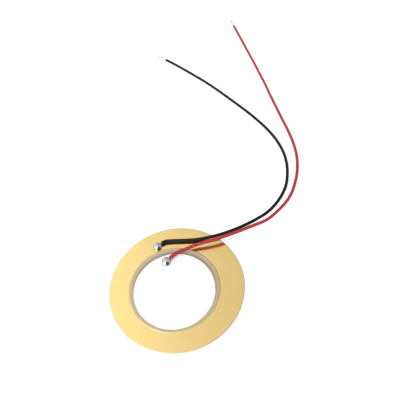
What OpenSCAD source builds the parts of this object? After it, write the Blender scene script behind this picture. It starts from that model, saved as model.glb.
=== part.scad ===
// Piezo disc: a brass plate with a silvered ceramic disc bonded to it, and two soldered leads.
// Millimetres. The origin is the centre of the plate's underside and +Z is up through the ceramic.
// The plate and both leads lie on the plane z = 0, and the leads run away towards +Y.

/* [Brass plate] */
// Diameter of the plate
plate_d = 35; // [30:0.5:42]
// Thickness of the sheet that the plate is punched from
plate_t = 0.3; // [0.2:0.05:0.5]
// Height and width of the broken edge that punching and tumbling leave
edge_break = 0.06; // [0.02:0.01:0.08]

/* [Ceramic and silver] */
// Diameter of the ceramic disc
ceramic_d = 23.2; // [19:0.2:26]
// Thickness of the bare ceramic
ceramic_t = 0.22; // [0.15:0.01:0.4]
// Thickness of the fired silver on each side of the ceramic
silver_t = 0.02; // [0.01:0.005:0.04]
// Mean width of the bare ceramic around the upper silver
electrode_margin = 1.15; // [0.8:0.05:2]
// How far the upper silver is printed off the ceramic's centre, along Y
electrode_shift_y = -0.6; // [-0.7:0.1:0.7]
// How far the ceramic sits off the plate's centre, along X
ceramic_shift_x = -0.6; // [-1:0.1:1]
// How far the ceramic sits off the plate's centre, along Y
ceramic_shift_y = -0.7; // [-1.5:0.1:1.5]

/* [Bond] */
// Thickness of the adhesive under the ceramic
bond_t = 0.02; // [0.01:0.005:0.05]
// Width of the adhesive that squeezed out around the ceramic
fillet_w = 0.3; // [0.2:0.05:0.6]
// Height of the squeezed-out adhesive against the ceramic's edge
fillet_h = 0.16; // [0.1:0.01:0.2]

/* [Solder] */
// Width of a solder dome at its foot
solder_d = 2.5; // [2:0.1:3]
// Height of a solder dome
solder_h = 1.15; // [0.95:0.05:1.4]
// Gap from the bond's edge to the solder on the plate
plate_joint_gap = 0.2; // [0.1:0.05:1]
// Gap from the upper silver's edge to the solder on it
electrode_joint_gap = 0.75; // [0.3:0.05:1]
// Direction of the solder on the plate from the ceramic's centre, in degrees from +X
plate_joint_angle = 106.5; // [96:0.5:116]
// Direction of the solder on the silver from the silver's centre, in degrees from +X
electrode_joint_angle = 101.5; // [90:0.5:110]
// Height of a conductor's centre above the metal that it is soldered to
joint_rise = 0.6; // [0.5:0.01:0.65]

/* [Leads] */
// Outside diameter of a lead
lead_d = 0.9; // [0.7:0.05:1.1]
// Diameter of the stranded conductor
conductor_d = 0.38; // [0.3:0.02:0.5]
// Radial gap between a conductor and its jacket
jacket_clearance = 0.01; // [0.01:0.005:0.02]
// Bare conductor between a solder dome's foot and the jacket
bare_len = 0.1; // [0.05:0.05:0.5]
// Diameter of a stripped and tinned end
tip_d = 0.4; // [0.4:0.02:0.6]
// Length of a stripped and tinned end
tip_len = 4.5; // [3:0.5:8]

/* [Hidden] */
$fn = 96;

// Levels of the stack, from the plate up
lower_silver_z = plate_t + bond_t;
ceramic_z = lower_silver_z + silver_t;
upper_silver_z = ceramic_z + ceramic_t;
stack_top = upper_silver_z + silver_t;

ceramic_r = ceramic_d / 2;
electrode_r = ceramic_r - electrode_margin;
bond_r = ceramic_r + fillet_w;
ceramic_at = [ceramic_shift_x, ceramic_shift_y];
electrode_at = ceramic_at + [0, electrode_shift_y];
solder_r = solder_d / 2;
// Length of conductor that reaches on into a tinned end, and the gap that keeps the tinning
// clear of the jacket's end face
tip_overlap = 1;
tip_gap = 0.1;

// A point at a distance and a direction from a centre
function around(centre, r, angle) = centre + r * [cos(angle), sin(angle)];
plate_joint = around(ceramic_at, bond_r + plate_joint_gap + solder_r, plate_joint_angle);
electrode_joint =
    around(electrode_at, electrode_r - electrode_joint_gap - solder_r, electrode_joint_angle);

// Routes: the centre line of each lead from just past its solder to the end of its jacket.
// Each point is [x, y, z], chosen by hand along one easy curve.
black_points = [
    [-2.2, 13.15, 0.95], [-0.5, 13.15, 0.9], [3, 12.8, 0.9], [6.5, 12.5, 1], [10, 12.65, 1.2],
    [13.5, 13.1, 1.4], [17, 14.1, 1.25], [20.5, 15.6, 0.8], [24, 17.3, 0.5], [27, 19, 0.45],
    [29.7, 21.3, 0.45], [32.2, 24.3, 0.45], [34.2, 27.8, 0.45], [35.5, 32, 0.45],
    [36.2, 36.5, 0.45], [36.1, 41, 0.45], [35.1, 46, 0.45], [33.3, 51, 0.45], [30.8, 56, 0.45],
    [27.9, 61, 0.45], [24, 67, 0.45], [20, 73, 0.45], [15.7, 79, 0.45], [11, 84.8, 0.45],
    [6.3, 90.4, 0.45], [2.3, 94.8, 0.45]
];
red_points = [
    [1, 9.15, 1.15], [3.6, 9.9, 1.25], [6.5, 10.55, 1.65], [9.9, 10.95, 2], [13.2, 11.55, 2.1],
    [16.6, 12.6, 1.8], [20, 14, 1.15], [23.6, 15.4, 0.6], [26.8, 16.7, 0.45],
    [29.7, 18.8, 0.45], [32.6, 21.4, 0.45], [35, 24.4, 0.45], [37, 28.3, 0.45],
    [38.6, 32.6, 0.45], [39.7, 37.8, 0.45], [40, 43.2, 0.45], [39.6, 49, 0.45],
    [38.8, 55, 0.45], [38, 61.2, 0.45], [37.2, 67.5, 0.45], [36.5, 74, 0.45],
    [35.6, 80.5, 0.45], [34.7, 87, 0.45], [33.6, 94, 0.45], [32.3, 102.5, 0.45],
    [30.8, 111.8, 0.45]
];

// The lead's end: its joint, then the start of the jacket, then the hand-chosen points
function unit(v) = v / norm(v);
function from_joint(joint, z, points) =
    let (centre = [joint.x, joint.y, z],
         flat = [points[0].x - joint.x, points[0].y - joint.y, 0],
         start = centre + (solder_r + bare_len) * unit(flat))
    concat([centre, start], points);

// The height of whatever lies under a point, and the lowest that a lead's centre can pass there
function ground_under(p) =
    norm([p.x, p.y] - ceramic_at) < bond_r + lead_d / 2 ? stack_top :
    norm([p.x, p.y]) < (plate_d + lead_d) / 2 ? plate_t : 0;
function lifted(p) = [p.x, p.y, max(p.z, ground_under(p) + lead_d / 2)];

// A smooth curve through the points: Catmull-Rom, with each end's outer neighbour mirrored
ROUTE_STEPS = 2;
function spline(a, b, c, d, t) =
    0.5 * (2 * b + (c - a) * t + (2 * a - 5 * b + 4 * c - d) * t * t
    + (3 * b - a - 3 * c + d) * t * t * t);
function neighbour(points, i) =
    i < 0 ? 2 * points[0] - points[1] :
    i > len(points) - 1 ? 2 * points[len(points) - 1] - points[len(points) - 2] : points[i];
function smooth(points) = [
    for (i = [0 : len(points) - 2], j = [0 : ROUTE_STEPS - 1])
        lifted(spline(neighbour(points, i - 1), points[i], points[i + 1],
                      neighbour(points, i + 2), j / ROUTE_STEPS)),
    lifted(points[len(points) - 1])
];

black_route = smooth(from_joint(plate_joint, plate_t + joint_rise, black_points));
red_route = smooth(from_joint(electrode_joint, stack_top + joint_rise, red_points));
// Index of the point on a smooth route where the jacket starts
JACKET_START = ROUTE_STEPS;

// Rings of points around a route
SIDES = 8;
function heading(path, i) =
    unit(path[min(i + 1, len(path) - 1)] - path[max(i - 1, 0)]);
function ring(path, i, r) =
    let (ahead = heading(path, i), side = unit(cross([0, 0, 1], ahead)), up = cross(ahead, side))
    [for (k = [0 : SIDES - 1])
        path[i] + r * (cos(360 * k / SIDES) * side + sin(360 * k / SIDES) * up)];
function rings(path, first, last, r) = [for (i = [first : last]) each ring(path, i, r)];

// Faces of a wall between rings, numbered from a first point, seen from outside or inside
function wall_faces(count, start, outward) = [
    for (i = [0 : count - 2], k = [0 : SIDES - 1])
        let (a = start + i * SIDES + k, b = start + i * SIDES + (k + 1) % SIDES,
             c = b + SIDES, d = a + SIDES)
        each (outward ? [[a, b, c], [a, c, d]] : [[a, c, b], [a, d, c]])
];

// A solid rod along part of a route
module rod(path, first, last, r) {
    count = last - first + 1;
    end = (count - 1) * SIDES;
    polyhedron(rings(path, first, last, r),
        concat(wall_faces(count, 0, false),
            [[for (k = [0 : SIDES - 1]) k]],
            [[for (k = [SIDES - 1 : -1 : 0]) end + k]]));
}

// A hollow tube along part of a route
module tube(path, first, last, r_out, r_in) {
    count = last - first + 1;
    inner = count * SIDES;
    end = (count - 1) * SIDES;
    polyhedron(concat(rings(path, first, last, r_out), rings(path, first, last, r_in)),
        concat(wall_faces(count, 0, false), wall_faces(count, inner, true),
            [for (k = [0 : SIDES - 1]) let (n = (k + 1) % SIDES)
                each [[k, n, inner + n], [k, inner + n, inner + k]]],
            [for (k = [0 : SIDES - 1]) let (n = (k + 1) % SIDES)
                each [[end + n, end + k, inner + end + k], [end + n, inner + end + k, inner + end + n]]]));
}

// Turns the Z axis to a level direction, at a point
module along(at, direction) {
    translate(at)
        rotate([0, 90, atan2(direction.y, direction.x)])
            children();
}

module jacket(route) {
    tube(route, JACKET_START, len(route) - 1, lead_d / 2, conductor_d / 2 + jacket_clearance);
}

// The stranded conductor with its tinned end, which is a true cylinder
module conductor(route) {
    last = route[len(route) - 1];
    ahead = heading(route, len(route) - 1);
    longer = concat(route, [last + tip_overlap * ahead]);
    rod(longer, 0, len(longer) - 1, conductor_d / 2);
    along(last + tip_gap * ahead, ahead)
        cylinder(d = tip_d, h = tip_len - tip_gap);
}

// A solder dome standing on a flat, moulded around the end of a conductor
module solder(at, z, route) {
    r = (solder_r * solder_r + solder_h * solder_h) / (2 * solder_h);
    difference() {
        translate([at.x, at.y, z])
            intersection() {
                translate([0, 0, solder_h - r]) sphere(r);
                cylinder(d = 2 * solder_d, h = solder_h + 1);
            }
        rod(route, 0, JACKET_START + 1, conductor_d / 2);
    }
}

module brass_plate() {
    r = plate_d / 2;
    color([0.93, 0.82, 0.52])
        rotate_extrude()
            polygon([[0, 0], [r - edge_break, 0], [r, edge_break], [r, plate_t - edge_break],
                [r - edge_break, plate_t], [0, plate_t]]);
}

module bond_layer() {
    foot = bond_r;
    color([0.80, 0.70, 0.50])
        translate([ceramic_at.x, ceramic_at.y, plate_t])
            rotate_extrude()
                polygon([[0, 0], [foot, 0], [foot - fillet_w / 2, fillet_h / 3],
                    [ceramic_r, fillet_h], [ceramic_r, bond_t], [0, bond_t]]);
}

module lower_electrode() {
    color([0.86, 0.86, 0.84])
        translate([ceramic_at.x, ceramic_at.y, lower_silver_z])
            cylinder(r = ceramic_r, h = silver_t);
}

module ceramic_disc() {
    color([0.78, 0.72, 0.61])
        translate([ceramic_at.x, ceramic_at.y, ceramic_z])
            cylinder(r = ceramic_r, h = ceramic_t);
}

module upper_electrode() {
    color([0.96, 0.96, 0.95])
        translate([electrode_at.x, electrode_at.y, upper_silver_z])
            cylinder(r = electrode_r, h = silver_t);
}

module plate_solder() {
    color([0.82, 0.82, 0.83]) solder(plate_joint, plate_t, black_route);
}

module electrode_solder() {
    color([0.82, 0.82, 0.83]) solder(electrode_joint, stack_top, red_route);
}

module black_jacket() {
    color([0.09, 0.08, 0.07]) jacket(black_route);
}

module black_conductor() {
    color([0.80, 0.80, 0.81]) conductor(black_route);
}

module red_jacket() {
    color([0.78, 0.22, 0.22]) jacket(red_route);
}

module red_conductor() {
    color([0.80, 0.80, 0.81]) conductor(red_route);
}

brass_plate();
bond_layer();
lower_electrode();
ceramic_disc();
upper_electrode();
plate_solder();
electrode_solder();
black_jacket();
black_conductor();
red_jacket();
red_conductor();
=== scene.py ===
"""Looks of the piezo disc: its finishes, the visible shapes that the plain CAD solids stand for,
a white studio and the camera. Lengths are written in millimetres, and MM makes metres of them."""

import math

import bpy
import numpy as np
from mathutils import Matrix, Vector, noise


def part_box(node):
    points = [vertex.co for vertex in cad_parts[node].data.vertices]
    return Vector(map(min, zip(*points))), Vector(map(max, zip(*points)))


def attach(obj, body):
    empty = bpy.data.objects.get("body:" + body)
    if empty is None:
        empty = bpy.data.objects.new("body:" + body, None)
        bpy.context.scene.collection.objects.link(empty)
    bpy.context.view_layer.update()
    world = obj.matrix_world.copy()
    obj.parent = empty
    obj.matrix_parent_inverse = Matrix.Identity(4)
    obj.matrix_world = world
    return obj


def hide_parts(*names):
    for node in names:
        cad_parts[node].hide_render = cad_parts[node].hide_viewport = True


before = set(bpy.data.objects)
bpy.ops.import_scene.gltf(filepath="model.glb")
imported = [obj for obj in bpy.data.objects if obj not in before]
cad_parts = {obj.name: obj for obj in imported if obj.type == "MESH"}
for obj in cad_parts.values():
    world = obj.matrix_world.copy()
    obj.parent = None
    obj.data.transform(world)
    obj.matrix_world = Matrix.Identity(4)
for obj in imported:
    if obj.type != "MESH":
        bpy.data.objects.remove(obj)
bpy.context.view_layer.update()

MM = 0.001
TURN = 2 * math.pi


# ---------------------------------------------------------------- camera

# The point on the table that the lens looks at, between the plate and the leads' far ends
CAMERA_AIM = Vector((8.64, 26.48, 0)) * MM
CAMERA_DISTANCE = 131.6 * MM
CAMERA_ELEVATION = math.radians(53)
CAMERA_ROLL = math.radians(-7)
CAMERA_LENS = 40.5
SENSOR_WIDTH = 36


def make_camera():
    """The camera stands on the -Y side and looks down at the part, turned a little on its axis."""
    data = bpy.data.cameras.new("camera")
    data.sensor_width = SENSOR_WIDTH
    data.lens = CAMERA_LENS
    data.clip_start = 5 * MM
    data.clip_end = 20000 * MM
    camera = bpy.data.objects.new("camera", data)
    bpy.context.collection.objects.link(camera)
    ahead = Vector((0, math.cos(CAMERA_ELEVATION), -math.sin(CAMERA_ELEVATION)))
    level = Vector((1, 0, 0))
    upright = level.cross(ahead)
    right = math.cos(CAMERA_ROLL) * level + math.sin(CAMERA_ROLL) * upright
    up = math.cos(CAMERA_ROLL) * upright - math.sin(CAMERA_ROLL) * level
    turn = Matrix((right, up, -ahead)).transposed().to_4x4()
    camera.matrix_world = Matrix.Translation(CAMERA_AIM - ahead * CAMERA_DISTANCE) @ turn
    bpy.context.scene.camera = camera


make_camera()


# ---------------------------------------------------------------- places from the frame

def round_node(name):
    """The centre of a round CAD node's foot, its radius and its height, in metres."""
    low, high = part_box(name)
    foot = Vector(((low.x + high.x) / 2, (low.y + high.y) / 2, low.z))
    return foot, (high.x - low.x) / 2, high.z - low.z


# ---------------------------------------------------------------- mesh helpers

def add_mesh(name, points, faces, material):
    """A smooth-shaded mesh object from points in metres."""
    mesh = bpy.data.meshes.new(name)
    mesh.from_pydata([tuple(p) for p in points], [], faces)
    mesh.validate()
    mesh.shade_smooth()
    piece = bpy.data.objects.new(name, mesh)
    bpy.context.collection.objects.link(piece)
    mesh.materials.append(material)
    return piece


def ring_faces(rings, sides, close=True):
    """Faces of a wall through rings of points, one after another. close adds its two ends."""
    faces = []
    for i in range(rings - 1):
        for k in range(sides):
            a = i * sides + k
            b = i * sides + (k + 1) % sides
            faces.append((a, b, b + sides, a + sides))
    if close:
        faces.append(tuple(range(sides - 1, -1, -1)))
        faces.append(tuple(range((rings - 1) * sides, rings * sides)))
    return faces


def lathe(name, profile, foot, sides, material, shape=None):
    """A turned piece. profile is (radius, height) pairs from the axis, up the outside and back to
    the axis, and shape may move each point: shape(radius, height, angle) -> (radius, height)."""
    outside = profile[1:-1]
    points = [foot + Vector((0, 0, profile[0][1]))]
    for profile_r, profile_z in outside:
        for k in range(sides):
            angle = TURN * k / sides
            r, z = shape(profile_r, profile_z, angle) if shape else (profile_r, profile_z)
            points.append(foot + Vector((r * math.cos(angle), r * math.sin(angle), z)))
    points.append(foot + Vector((0, 0, profile[-1][1])))
    last = len(points) - 1
    top = last - sides
    faces = []
    for k in range(sides):
        n = (k + 1) % sides
        faces.append((0, 1 + n, 1 + k))
        faces.append((top + k, top + n, last))
    for a, b, c, d in ring_faces(len(outside), sides, close=False):
        faces.append((1 + a, 1 + b, 1 + c, 1 + d))
    return add_mesh(name, points, faces, material)


def carry(piece, replaced):
    """Hangs a piece on the root body and hides the CAD node that it stands for."""
    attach(piece, "root")
    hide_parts(replaced)


def wander(angle, seed, waves):
    """A smooth value from about -1 to 1 that goes once round a circle without a jump."""
    place = Vector((waves * math.cos(angle), waves * math.sin(angle), seed))
    return 2 * noise.noise(place)


# ---------------------------------------------------------------- material helpers

def new_material(name, **sockets):
    """A Principled material. Returns it with its node tree and its shader."""
    material = bpy.data.materials.new(name)
    material.use_nodes = True
    tree = material.node_tree
    shader = tree.nodes["Principled BSDF"]
    for key, value in sockets.items():
        shader.inputs[key.replace("_", " ")].default_value = value
    return material, tree, shader


def node(tree, kind, **settings):
    """A new node. Each setting goes to the input of that name, or else to the node itself."""
    made = tree.nodes.new(kind)
    for key, value in settings.items():
        if key in made.inputs:
            made.inputs[key].default_value = value
        else:
            setattr(made, key, value)
    return made


def object_place(tree, scale=(1, 1, 1), turn=0.0):
    """The object's own coordinates, stretched and turned about Z."""
    place = node(tree, "ShaderNodeTexCoord")
    mapping = node(tree, "ShaderNodeMapping")
    mapping.inputs["Scale"].default_value = scale
    mapping.inputs["Rotation"].default_value = (0, 0, turn)
    tree.links.new(place.outputs["Object"], mapping.inputs["Vector"])
    return mapping.outputs["Vector"]


def noise_value(tree, place, scale, detail=3.0):
    """Smooth noise from 0 to 1, mostly between 0.3 and 0.7. scale is per metre."""
    made = node(tree, "ShaderNodeTexNoise", Scale=scale, Detail=detail, Roughness=0.5)
    tree.links.new(place, made.inputs["Vector"])
    return made.outputs["Fac"]


def ramp(tree, value, stops):
    """A colour ramp through (position, colour) stops."""
    made = node(tree, "ShaderNodeValToRGB")
    elements = made.color_ramp.elements
    while len(elements) < len(stops):
        elements.new(0.5)
    for element, (position, colour) in zip(elements, stops):
        element.position = position
        element.color = (*colour, 1)
    tree.links.new(value, made.inputs["Fac"])
    return made.outputs["Color"]


def mixed(tree, share, first, second):
    """A blend of two colours, where a colour is a socket or a plain value. Several sockets of the
    node share a name, so its colour sockets are found by their identifiers."""
    blend = node(tree, "ShaderNodeMix", data_type="RGBA")
    tree.links.new(share, blend.inputs["Factor"])
    for identifier, colour in (("A_Color", first), ("B_Color", second)):
        socket = next(i for i in blend.inputs if i.identifier == identifier)
        if isinstance(colour, tuple):
            socket.default_value = (*colour, 1)
        else:
            tree.links.new(colour, socket)
    return next(o for o in blend.outputs if o.identifier == "Result_Color")


def span(tree, value, low, high, to_low, to_high):
    """The value taken from the span low..high to the span to_low..to_high, and held there."""
    made = node(tree, "ShaderNodeMapRange")
    for key, number in (("From Min", low), ("From Max", high), ("To Min", to_low),
                        ("To Max", to_high)):
        made.inputs[key].default_value = number
    tree.links.new(value, made.inputs["Value"])
    return made.outputs["Result"]


def vector_result(tree, operation, first, second, output="Vector"):
    """A vector operation on a socket and a plain vector."""
    made = node(tree, "ShaderNodeVectorMath", operation=operation)
    tree.links.new(first, made.inputs[0])
    made.inputs[1].default_value = second
    return made.outputs[output]


def level_offset(tree, centre):
    """The way from an upright axis through a centre to each point, without its height."""
    offset = vector_result(tree, "SUBTRACT", object_place(tree), centre)
    return vector_result(tree, "MULTIPLY", offset, (1, 1, 0))


def length_of(tree, vector):
    """The length of a vector socket. The node's second input plays no part in it."""
    return vector_result(tree, "LENGTH", vector, (0, 0, 0), "Value")


def bump(tree, shader, height, strength, distance):
    """A relief that is distance metres deep at full strength."""
    made = node(tree, "ShaderNodeBump", Strength=strength, Distance=distance)
    tree.links.new(height, made.inputs["Height"])
    tree.links.new(made.outputs["Normal"], shader.inputs["Normal"])


# ---------------------------------------------------------------- materials

# How far in from its edge the plate is dull
DULL_RIM = 0.6
# Where the painted shade on the ceramic starts to fade and where it ends, outwards from the
# silver's edge
SHADE_FADES = 0.1
SHADE_ENDS = 1.3
# The level direction in which the painted shade is strongest, on the far side from the front light,
# and the places along it, from the silver's centre, between which it grows
SHADE_SIDE = (0.26, 0.97, 0)
SHADE_WEAK = -3
SHADE_STRONG = 9
# The centre of the painted dark reflection on the solder, in the dome's radii and height from its
# foot, and where it starts to fade and where it ends
DARK_REFLECTION_PLACE = (0.34, -0.76, 0.58)
DARK_REFLECTION_FADES = 0.36
DARK_REFLECTION_ENDS = 0.54


def brass_material():
    """Rolled brass sheet: faint lines along the rolling direction, slight warm tarnish and a
    duller, paler colour in a band along its rim."""
    made, tree, shader = new_material("brass", Metallic=1.0)
    soft = noise_value(tree, object_place(tree), 160, 4)
    colour = ramp(tree, soft, [(0.30, (0.955, 0.71, 0.30)), (0.70, (0.945, 0.68, 0.256))])
    centre, plate_r, _ = round_node("brass_plate")
    away = length_of(tree, level_offset(tree, centre))
    rim = span(tree, away, plate_r - DULL_RIM * MM, plate_r, 0.0, 1.0)
    tree.links.new(mixed(tree, rim, colour, (0.79, 0.67, 0.42)), shader.inputs["Base Color"])
    lines = noise_value(tree, object_place(tree, (1, 0.04, 1), 0.35), 9000, 3)
    rough = span(tree, lines, 0.3, 0.7, 0.17, 0.23)
    tree.links.new(rough, shader.inputs["Roughness"])
    bump(tree, shader, lines, 0.05, 0.02 * MM)
    return made


def adhesive_material():
    """Cured adhesive: tan, mottled and slightly glossy."""
    made, tree, shader = new_material("adhesive", Roughness=0.32)
    mottle = noise_value(tree, object_place(tree), 900, 4)
    colour = ramp(tree, mottle, [(0.3, (0.48, 0.37, 0.18)), (0.7, (0.54, 0.42, 0.21))])
    tree.links.new(colour, shader.inputs["Base Color"])
    bump(tree, shader, mottle, 0.3, 0.05 * MM)
    return made


def ceramic_material():
    """Fired, unglazed ceramic, matt with a fine grain. Painted shade darkens it towards grey beside
    the silver's edge all round, and it is strongest on the far side, away from the front light."""
    made, tree, shader = new_material("ceramic", Roughness=0.75)
    grain = noise_value(tree, object_place(tree), 4000, 4)
    bare = ramp(tree, grain, [(0.3, (0.405, 0.315, 0.182)), (0.7, (0.465, 0.365, 0.213))])
    centre, silver_r, _ = round_node("upper_electrode")
    offset = level_offset(tree, centre)
    away = length_of(tree, offset)
    # Painted shade: the ceramic's colour darkens towards grey beside the silver's edge, most on the
    # far side from the front light.
    near = span(tree, away, silver_r + SHADE_FADES * MM, silver_r + SHADE_ENDS * MM, 1.0, 0.0)
    to_shaded_side = vector_result(tree, "DOT_PRODUCT", offset, SHADE_SIDE, "Value")
    shaded_side = span(tree, to_shaded_side, SHADE_WEAK * MM, SHADE_STRONG * MM, 0.25, 0.95)
    painted_shade = node(tree, "ShaderNodeMath", operation="MULTIPLY")
    tree.links.new(near, painted_shade.inputs[0])
    tree.links.new(shaded_side, painted_shade.inputs[1])
    shaded_colour = mixed(tree, painted_shade.outputs["Value"], bare, (0.16, 0.145, 0.12))
    tree.links.new(shaded_colour, shader.inputs["Base Color"])
    bump(tree, shader, grain, 0.2, 0.02 * MM)
    return made


def silver_material():
    """Printed and fired silver: near white and matt, with soft clouds and a fine grain."""
    made, tree, shader = new_material("silver", Metallic=0.35)
    cloud = noise_value(tree, object_place(tree), 220, 4)
    colour = ramp(tree, cloud, [(0.3, (0.83, 0.815, 0.805)), (0.7, (0.785, 0.77, 0.76))])
    tree.links.new(colour, shader.inputs["Base Color"])
    grain = noise_value(tree, object_place(tree), 6000, 2)
    rough = span(tree, grain, 0.3, 0.7, 0.48, 0.62)
    tree.links.new(rough, shader.inputs["Roughness"])
    bump(tree, shader, grain, 0.15, 0.01 * MM)
    return made


def solder_material(name, solder):
    """Bright solder with a few soft ripples where it froze, painted shade and reflection darkening
    its foot, and one painted dark reflection low on its front."""
    made, tree, shader = new_material(name, Metallic=1.0)
    ripple = noise_value(tree, object_place(tree), 1500, 2)
    bright = ramp(tree, ripple, [(0.3, (0.64, 0.63, 0.64)), (0.7, (0.52, 0.51, 0.52))])
    foot, r, h = round_node(solder)
    height = vector_result(tree, "DOT_PRODUCT", object_place(tree), (0, 0, 1), "Value")
    up = span(tree, height, foot.z, foot.z + 0.4 * h, 0.0, 1.0)
    # Painted shade and reflection: the solder's colour darkens towards its foot.
    foot_shaded = mixed(tree, up, (0.16, 0.14, 0.13), bright)
    # Painted reflection: the colour goes nearly black in one spot low on the dome's front.
    reflection_centre = foot + Vector(DARK_REFLECTION_PLACE) * Vector((r, r, h))
    from_reflection = vector_result(tree, "DISTANCE", object_place(tree), reflection_centre, "Value")
    painted_reflection = span(tree, from_reflection, DARK_REFLECTION_FADES * MM, DARK_REFLECTION_ENDS * MM, 1.0, 0.0)
    tree.links.new(mixed(tree, painted_reflection, foot_shaded, (0.065, 0.06, 0.053)), shader.inputs["Base Color"])
    rough = span(tree, ripple, 0.3, 0.7, 0.05, 0.12)
    tree.links.new(rough, shader.inputs["Roughness"])
    bump(tree, shader, ripple, 0.35, 0.08 * MM)
    return made


def jacket_material(name, dark, light):
    """Extruded PVC: a satin skin that is slightly uneven."""
    made, tree, shader = new_material(name, Specular_IOR_Level=0.17)
    skin = noise_value(tree, object_place(tree), 1200, 3)
    colour = ramp(tree, skin, [(0.3, dark), (0.7, light)])
    tree.links.new(colour, shader.inputs["Base Color"])
    rough = span(tree, skin, 0.3, 0.7, 0.38, 0.50)
    tree.links.new(rough, shader.inputs["Roughness"])
    bump(tree, shader, skin, 0.1, 0.03 * MM)
    return made


def tinned_material():
    """Copper strands under a thin, slightly dull coat of tin."""
    made, tree, shader = new_material("tinned_copper", Metallic=1.0)
    coat = noise_value(tree, object_place(tree), 2500, 3)
    colour = ramp(tree, coat, [(0.3, (0.62, 0.61, 0.60)), (0.7, (0.48, 0.47, 0.46))])
    tree.links.new(colour, shader.inputs["Base Color"])
    rough = span(tree, coat, 0.3, 0.7, 0.16, 0.30)
    tree.links.new(rough, shader.inputs["Roughness"])
    return made


BRASS = brass_material()
ADHESIVE = adhesive_material()
CERAMIC = ceramic_material()
SILVER = silver_material()
BLACK_PVC = jacket_material("black_pvc", (0.0045, 0.004, 0.0035), (0.0075, 0.0065, 0.0055))
RED_PVC = jacket_material("red_pvc", (0.30, 0.026, 0.030), (0.35, 0.034, 0.039))
TINNED = tinned_material()


# ---------------------------------------------------------------- leads

LEAD_D = 0.9
# The bore fits loosely round the strands
JACKET_BORE = 0.4
# How round the jacket's cut ends are, and how far its bore is drawn in from each
JACKET_EDGE = 0.05
JACKET_DEPTH = 0.6
# Bare conductor between a dome's foot and the jacket, and beyond the jacket's far end
BARE_LENGTH = 0.1
TIP_LENGTH = 4.5
# Six strands lie in a ring around a seventh, and go once round it in a pitch
OUTER_STRANDS = 6
STRAND_D = 0.127
STRAND_RING = 0.127
STRAND_PITCH = 8.0
# Distance between rings of points along a piece, and points in each ring
JACKET_STEP = 0.6
JACKET_SIDES = 24
STRAND_STEP = 0.5
TIP_STEP = 0.4
STRAND_SIDES = 8
# How much the tinning thickens each strand's radius and draws the outer ones in, and over how
# many steps beyond the jacket it comes on
TIN_SWELL = 0.012
TIN_DRAW = 0.003
TIN_FADE_STEPS = 2

# The routes of the leads, as the part's source has them
BLACK_POINTS = [
    (-2.2, 13.15, 0.95), (-0.5, 13.15, 0.9), (3, 12.8, 0.9), (6.5, 12.5, 1), (10, 12.65, 1.2),
    (13.5, 13.1, 1.4), (17, 14.1, 1.25), (20.5, 15.6, 0.8), (24, 17.3, 0.5), (27, 19, 0.45),
    (29.7, 21.3, 0.45), (32.2, 24.3, 0.45), (34.2, 27.8, 0.45), (35.5, 32, 0.45),
    (36.2, 36.5, 0.45), (36.1, 41, 0.45), (35.1, 46, 0.45), (33.3, 51, 0.45), (30.8, 56, 0.45),
    (27.9, 61, 0.45), (24, 67, 0.45), (20, 73, 0.45), (15.7, 79, 0.45), (11, 84.8, 0.45),
    (6.3, 90.4, 0.45), (2.3, 94.8, 0.45),
]
RED_POINTS = [
    (1, 9.15, 1.15), (3.6, 9.9, 1.25), (6.5, 10.55, 1.65), (9.9, 10.95, 2), (13.2, 11.55, 2.1),
    (16.6, 12.6, 1.8), (20, 14, 1.15), (23.6, 15.4, 0.6), (26.8, 16.7, 0.45),
    (29.7, 18.8, 0.45), (32.6, 21.4, 0.45), (35, 24.4, 0.45), (37, 28.3, 0.45),
    (38.6, 32.6, 0.45), (39.7, 37.8, 0.45), (40, 43.2, 0.45), (39.6, 49, 0.45),
    (38.8, 55, 0.45), (38, 61.2, 0.45), (37.2, 67.5, 0.45), (36.5, 74, 0.45),
    (35.6, 80.5, 0.45), (34.7, 87, 0.45), (33.6, 94, 0.45), (32.3, 102.5, 0.45),
    (30.8, 111.8, 0.45),
]
# Height of a conductor's centre above the metal that it is soldered to
JOINT_RISE = 0.6
# Points on the smooth route for each one listed
ROUTE_STEPS = 6


def from_joint(solder, points):
    """The route in metres, from the joint's centre and the jacket's start onwards."""
    foot, r, _ = round_node(solder)
    chosen = [Vector(p) * MM for p in points]
    centre = foot + Vector((0, 0, JOINT_RISE * MM))
    flat = chosen[0] - foot
    flat.z = 0
    return [centre, centre + (r + BARE_LENGTH * MM) * flat.normalized()] + chosen


def smooth(points):
    """Catmull-Rom through the points, never lower than the lead's own radius."""
    ends = [2 * points[0] - points[1]] + points + [2 * points[-1] - points[-2]]
    route = []
    for i in range(len(points) - 1):
        a, b, c, d = ends[i:i + 4]
        for j in range(ROUTE_STEPS):
            t = j / ROUTE_STEPS
            p = 0.5 * (2 * b + (c - a) * t + (2 * a - 5 * b + 4 * c - d) * t * t
                       + (3 * b - a - 3 * c + d) * t * t * t)
            p.z = max(p.z, LEAD_D / 2 * MM)
            route.append(p)
    route.append(points[-1])
    return route


def lengths_along(route):
    """How far along a route each of its points lies."""
    lengths = [0.0]
    for a, b in zip(route, route[1:]):
        lengths.append(lengths[-1] + (b - a).length)
    return lengths


def evenly(route, step):
    """The route again, with its points a step apart."""
    lengths = lengths_along(route)
    count = max(2, round(lengths[-1] / step))
    places = np.linspace(0, lengths[-1], count + 1)
    axes = [np.interp(places, lengths, [p[k] for p in route]) for k in range(3)]
    return [Vector(p) for p in zip(*axes)]


def frames(route):
    """The heading and the two directions across it at each point of a route."""
    result = []
    for i in range(len(route)):
        ahead = (route[min(i + 1, len(route) - 1)] - route[max(i - 1, 0)]).normalized()
        side = Vector((0, 0, 1)).cross(ahead).normalized()
        result.append((ahead, side, ahead.cross(side)))
    return result


def ring(place, frame_there, r, sides):
    """Points in a circle across a route."""
    _, side, up = frame_there
    turns = [TURN * k / sides for k in range(sides)]
    return [place + r * (math.cos(turn) * side + math.sin(turn) * up) for turn in turns]


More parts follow.
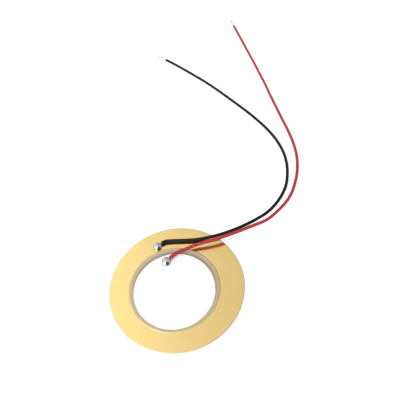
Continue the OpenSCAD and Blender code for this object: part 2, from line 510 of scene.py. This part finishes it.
def make_jacket(name, route, material):
    """The insulation: a tube with slightly rounded cut ends, open to the conductor inside."""
    outer = LEAD_D / 2 * MM
    bore = JACKET_BORE / 2 * MM
    edge = JACKET_EDGE * MM
    path = evenly(route, JACKET_STEP * MM)
    across = frames(path)
    points = []

    def add_end(place, frame_there, inward, rows):
        """One cut end, as rows of (distance along the lead, radius)."""
        for distance, r in rows:
            points.extend(ring(place + distance * inward, frame_there, r, JACKET_SIDES))

    cut = [(JACKET_DEPTH * MM, bore), (0, bore), (0, outer - edge), (edge, outer)]
    add_end(path[0], across[0], across[0][0], cut)
    for place, frame_there in zip(path[1:-1], across[1:-1]):
        points.extend(ring(place, frame_there, outer, JACKET_SIDES))
    add_end(path[-1], across[-1], -across[-1][0], cut[::-1])
    faces = ring_faces(len(points) // JACKET_SIDES, JACKET_SIDES)
    return add_mesh(name, points, faces, material)


def make_conductor(name, route, material):
    """Seven twisted strands along the whole lead. The last stretch is bare and tinned, so its
    strands swell into one lobed rod."""
    path = evenly(route, STRAND_STEP * MM)
    end_ahead = (path[-1] - path[-2]).normalized()
    jacket_end = len(path) - 1
    tip_steps = round(TIP_LENGTH / TIP_STEP)
    for i in range(tip_steps):
        path.append(path[jacket_end] + end_ahead * (TIP_LENGTH * MM * (i + 1) / tip_steps))
    across = frames(path)
    along = lengths_along(path)
    points, faces = [], []
    for strand in range(OUTER_STRANDS + 1):
        base = len(points)
        for i, (place, frame_there) in enumerate(zip(path, across)):
            _, side, up = frame_there
            twist = TURN * (along[i] / (STRAND_PITCH * MM) + strand / OUTER_STRANDS)
            tin = min(1.0, max(0.0, (i - jacket_end) / TIN_FADE_STEPS))
            offset = 0.0 if strand == OUTER_STRANDS else (STRAND_RING - TIN_DRAW * tin) * MM
            middle = place + offset * (math.cos(twist) * side + math.sin(twist) * up)
            r = (STRAND_D / 2 + TIN_SWELL * tin) * MM
            points.extend(ring(middle, frame_there, r, STRAND_SIDES))
        for face in ring_faces(len(path), STRAND_SIDES):
            faces.append(tuple(base + v for v in face))
    return add_mesh(name, points, faces, material)


def make_lead(colour, solder, points, material):
    """One lead: its jacket and the strands that run through it."""
    route = smooth(from_joint(solder, points))
    jacket_route = route[ROUTE_STEPS:]
    jacket = make_jacket(f"{colour}_lead_jacket", jacket_route, material)
    wire = make_conductor(f"{colour}_lead_strands", route, TINNED)
    carry(jacket, f"{colour}_jacket")
    carry(wire, f"{colour}_conductor")


make_lead("black", "plate_solder", BLACK_POINTS, BLACK_PVC)
make_lead("red", "electrode_solder", RED_POINTS, RED_PVC)


# ---------------------------------------------------------------- plate, ceramic and silver

DISC_SIDES = 256


def make_plate():
    """Punched sheet: the punch drew its upper edge over, and its lower edge is sharper."""
    centre, r, h = round_node("brass_plate")
    drawn = 0.16 * MM
    sunk = 0.045 * MM
    sharp = 0.03 * MM
    steps = 8
    profile = [(0, 0), (r * 0.5, 0), (r - sharp, 0), (r - 0.3 * sharp, 0.3 * sharp), (r, sharp)]
    for i in range(steps + 1):
        a = math.pi / 2 * i / steps
        profile.append((r - drawn + drawn * math.cos(a), h - sunk + sunk * math.sin(a)))
    profile += [(r * 0.97, h), (r * 0.5, h), (0, h)]
    return lathe("plate", profile, centre, DISC_SIDES, BRASS)


def make_adhesive():
    """The thin bond and its rim, which squeezed out unevenly around the ceramic."""
    centre, r, h = round_node("bond_layer")
    _, inner, _ = round_node("ceramic_disc")
    width = r - inner
    # The rim's inner wall stands a hair inside the ceramic, down to the top of the thin bond
    wall = inner - 0.02 * MM
    bond = 0.125 * h

    def uneven(radius, z, angle):
        """Draws the rim in and lowers it here and there, and leaves the bond as it is."""
        if radius < inner * 0.999:
            return radius, z
        share = (radius - inner) / width
        shift = -0.12 * width * (1 + wander(angle, 3.0, 3.0) + 0.6 * wander(angle, 8.0, 9.0))
        sag = 1 + 0.15 * wander(angle, 5.0, 6.0)
        return radius + share * shift, min(z * sag, h)

    profile = [(0, 0), (inner * 0.9, 0), (r, 0), (r - 0.08 * width, h * 0.12),
               (r - 0.30 * width, h * 0.30), (r - 0.62 * width, h * 0.60),
               (inner, h), (wall, h * 0.9), (wall, bond), (0, bond)]
    return lathe("adhesive", profile, centre, DISC_SIDES, ADHESIVE, uneven)


def thin_disc(name, source, material, round_edge, wobble, seed):
    """A flat disc with a small rounded edge whose outline strays a little from a true circle."""
    centre, r, h = round_node(source)
    edge = min(round_edge * MM, h * 0.45)

    def stray(radius, z, angle):
        """Draws the disc's edge in a little here and there."""
        if radius < r * 0.9:
            return radius, z
        return radius - wobble * MM * (0.5 + 0.5 * wander(angle, seed, 7.0)), z

    profile = [(0, 0), (r * 0.6, 0), (r - edge, 0), (r, edge), (r, h - edge),
               (r - 0.3 * edge, h - 0.3 * edge), (r - edge, h), (r * 0.98, h), (r * 0.6, h),
               (0, h)]
    return lathe(name, profile, centre, DISC_SIDES, material, stray)


carry(make_plate(), "brass_plate")
carry(make_adhesive(), "bond_layer")
carry(thin_disc("ceramic", "ceramic_disc", CERAMIC, round_edge=0.03, wobble=0.03, seed=11.0),
      "ceramic_disc")
carry(thin_disc("lower_silver", "lower_electrode", SILVER, round_edge=0.002, wobble=0.01,
                seed=12.0), "lower_electrode")
carry(thin_disc("upper_silver", "upper_electrode", SILVER, round_edge=0.008, wobble=0.05,
                seed=13.0), "upper_electrode")


# ---------------------------------------------------------------- solder

DOME_SIDES = 96
DOME_STEPS = 20
# Half the width and half the height of the collar around the wire
COLLAR_WIDTH = 0.30
COLLAR_HEIGHT = 0.26


def make_solder(name, solder, points, seed):
    """A frozen dome: a thin wetted foot, a round body and a collar drawn out along the wire."""
    foot, r, h = round_node(solder)
    flat = Vector(points[0]) * MM - foot
    wire_angle = math.atan2(flat.y, flat.x)
    wire_z = JOINT_RISE * MM

    def frozen(radius, z, angle):
        """Makes the body a little lumpy, and pulls it out to the wire where the wire leaves."""
        lump = noise.noise(Vector((1.8 * math.cos(angle), 1.8 * math.sin(angle), seed + 2 * z / h)))
        turned = math.atan2(math.sin(angle - wire_angle), math.cos(angle - wire_angle))
        beside = turned * r / (COLLAR_WIDTH * MM)
        above = (z - wire_z) / (COLLAR_HEIGHT * MM)
        collar = math.exp(-beside ** 2 - above ** 2)
        reach = collar * (r + 0.5 * BARE_LENGTH * MM - radius)
        return radius * (1 + 0.09 * lump * min(1, 2 * z / h)) + reach, z

    profile = [(0, 0), (r * 0.8, 0), (r * 0.97, 0), (r, 0.06 * h)]
    for i in range(1, DOME_STEPS):
        a = math.pi / 2 * i / DOME_STEPS
        profile.append((r * math.cos(a) ** 0.86, h * (0.08 + 0.92 * math.sin(a))))
    profile.append((0, h))
    return lathe(name, profile, foot, DOME_SIDES, solder_material(name, solder), frozen)


carry(make_solder("solder_on_plate", "plate_solder", BLACK_POINTS, seed=1.0),
      "plate_solder")
carry(make_solder("solder_on_silver", "electrode_solder", RED_POINTS, seed=4.0),
      "electrode_solder")


# ---------------------------------------------------------------- studio

# Half the floor's width, and how far it lies below the part
FLOOR_HALF = 1500
FLOOR_DROP = 0.02


def make_floor():
    """A white acrylic sheet, lit a little from below as a product table is."""
    half = FLOOR_HALF * MM
    made, tree, shader = new_material("white_acrylic", Roughness=0.9)
    shader.inputs["Base Color"].default_value = (0.9, 0.9, 0.9, 1)
    shader.inputs["Specular IOR Level"].default_value = 0.1
    shader.inputs["Emission Color"].default_value = (1, 1, 1, 1)
    shader.inputs["Emission Strength"].default_value = 0.35
    z = -FLOOR_DROP * MM
    corners = [(-half, -half, z), (half, -half, z), (half, half, z), (-half, half, z)]
    add_mesh("floor", corners, [(0, 1, 2, 3)], made)


# Directions from the part: to the studio's bright side, to the dim stretch just above the far
# horizon, and to the dark opening in front
BRIGHT_SIDE = (-1, -0.05, 0)
FAR_HORIZON = (0.1, 1, 0.1)
FRONT_OPENING = (0.34, -0.94, 0)


def make_world():
    """An even white studio, brighter on the left. It is dim along the far horizon, and darker in
    one narrow opening in front, at table height."""
    world = bpy.data.worlds.new("studio")
    world.use_nodes = True
    tree = world.node_tree
    background = tree.nodes["Background"]
    direction = node(tree, "ShaderNodeTexCoord").outputs["Generated"]

    def towards(aim):
        """How closely a ray heads that way, from -1 to 1."""
        unit = Vector(aim).normalized()
        return vector_result(tree, "DOT_PRODUCT", direction, unit, "Value")

    def dimmed(light, share):
        """The light, scaled by a share of itself."""
        scale = node(tree, "ShaderNodeVectorMath", operation="SCALE")
        tree.links.new(light, scale.inputs[0])
        tree.links.new(share, scale.inputs["Scale"])
        return scale.outputs["Vector"]

    side = span(tree, towards(BRIGHT_SIDE), -0.3, 0.3, 0.0, 1.0)
    light = ramp(tree, side, [(0.0, (0.66, 0.66, 0.67)), (0.33, (0.74, 0.74, 0.75)),
                              (0.58, (0.88, 0.88, 0.89)), (0.83, (1.21, 1.28, 1.28)),
                              (1.0, (1.06, 1.10, 1.10))])
    horizon = span(tree, towards(FAR_HORIZON), 0.84, 0.97, 1.0, 0.35)
    opening = span(tree, towards(FRONT_OPENING), 0.93, 0.98, 1.0, 0.2)
    light = dimmed(dimmed(light, horizon), opening)
    tree.links.new(light, background.inputs["Color"])
    bpy.context.scene.world = world


KEY_PLACE = Vector((-300, -300, 420)) * MM
KEY_AIM = Vector((10, 30, 0)) * MM
KEY_WIDTH = 350
KEY_WATTS = 3.2


def make_key_light():
    """A round soft light, above the part on its front left."""
    data = bpy.data.lights.new("key", "AREA")
    data.shape = "DISK"
    data.size = KEY_WIDTH * MM
    data.energy = KEY_WATTS
    lamp = bpy.data.objects.new("key", data)
    lamp.location = KEY_PLACE
    lamp.rotation_euler = (KEY_AIM - KEY_PLACE).to_track_quat("-Z", "Y").to_euler()
    bpy.context.collection.objects.link(lamp)


make_floor()
make_world()
make_key_light()
bpy.context.scene.view_settings.view_transform = "Standard"
bpy.context.scene.view_settings.look = "None"
